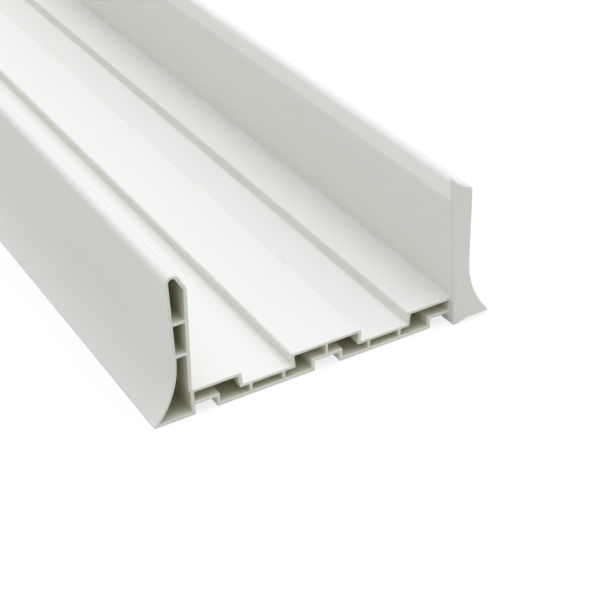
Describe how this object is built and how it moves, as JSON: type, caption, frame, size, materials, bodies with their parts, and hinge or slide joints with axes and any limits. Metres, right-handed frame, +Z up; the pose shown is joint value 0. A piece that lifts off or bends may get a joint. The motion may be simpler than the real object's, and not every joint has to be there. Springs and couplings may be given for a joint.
{
  "type": "u-profile",
  "caption": "Extruded hollow-chamber PVC U-profile with flared feet, a grooved floor and leaning walls, one wall's end capped.",
  "frame": {"origin": "on the ground under the middle of the whole object's length and width", "axes": "+Y along the extrusion away from the capped end, +Z up out of the channel, +X towards the wall that has the end cap"},
  "size_m": [0.1284, 1.003, 0.0569],
  "materials": {
    "extruded_pvc": "satin extruded surface, sawn ends",
    "moulded_pvc": "fine matt moulded surface"
  },
  "bodies": {
    "root": {"u_profile": "extruded_pvc", "end_cap": "moulded_pvc"}
  },
  "joints": []
}
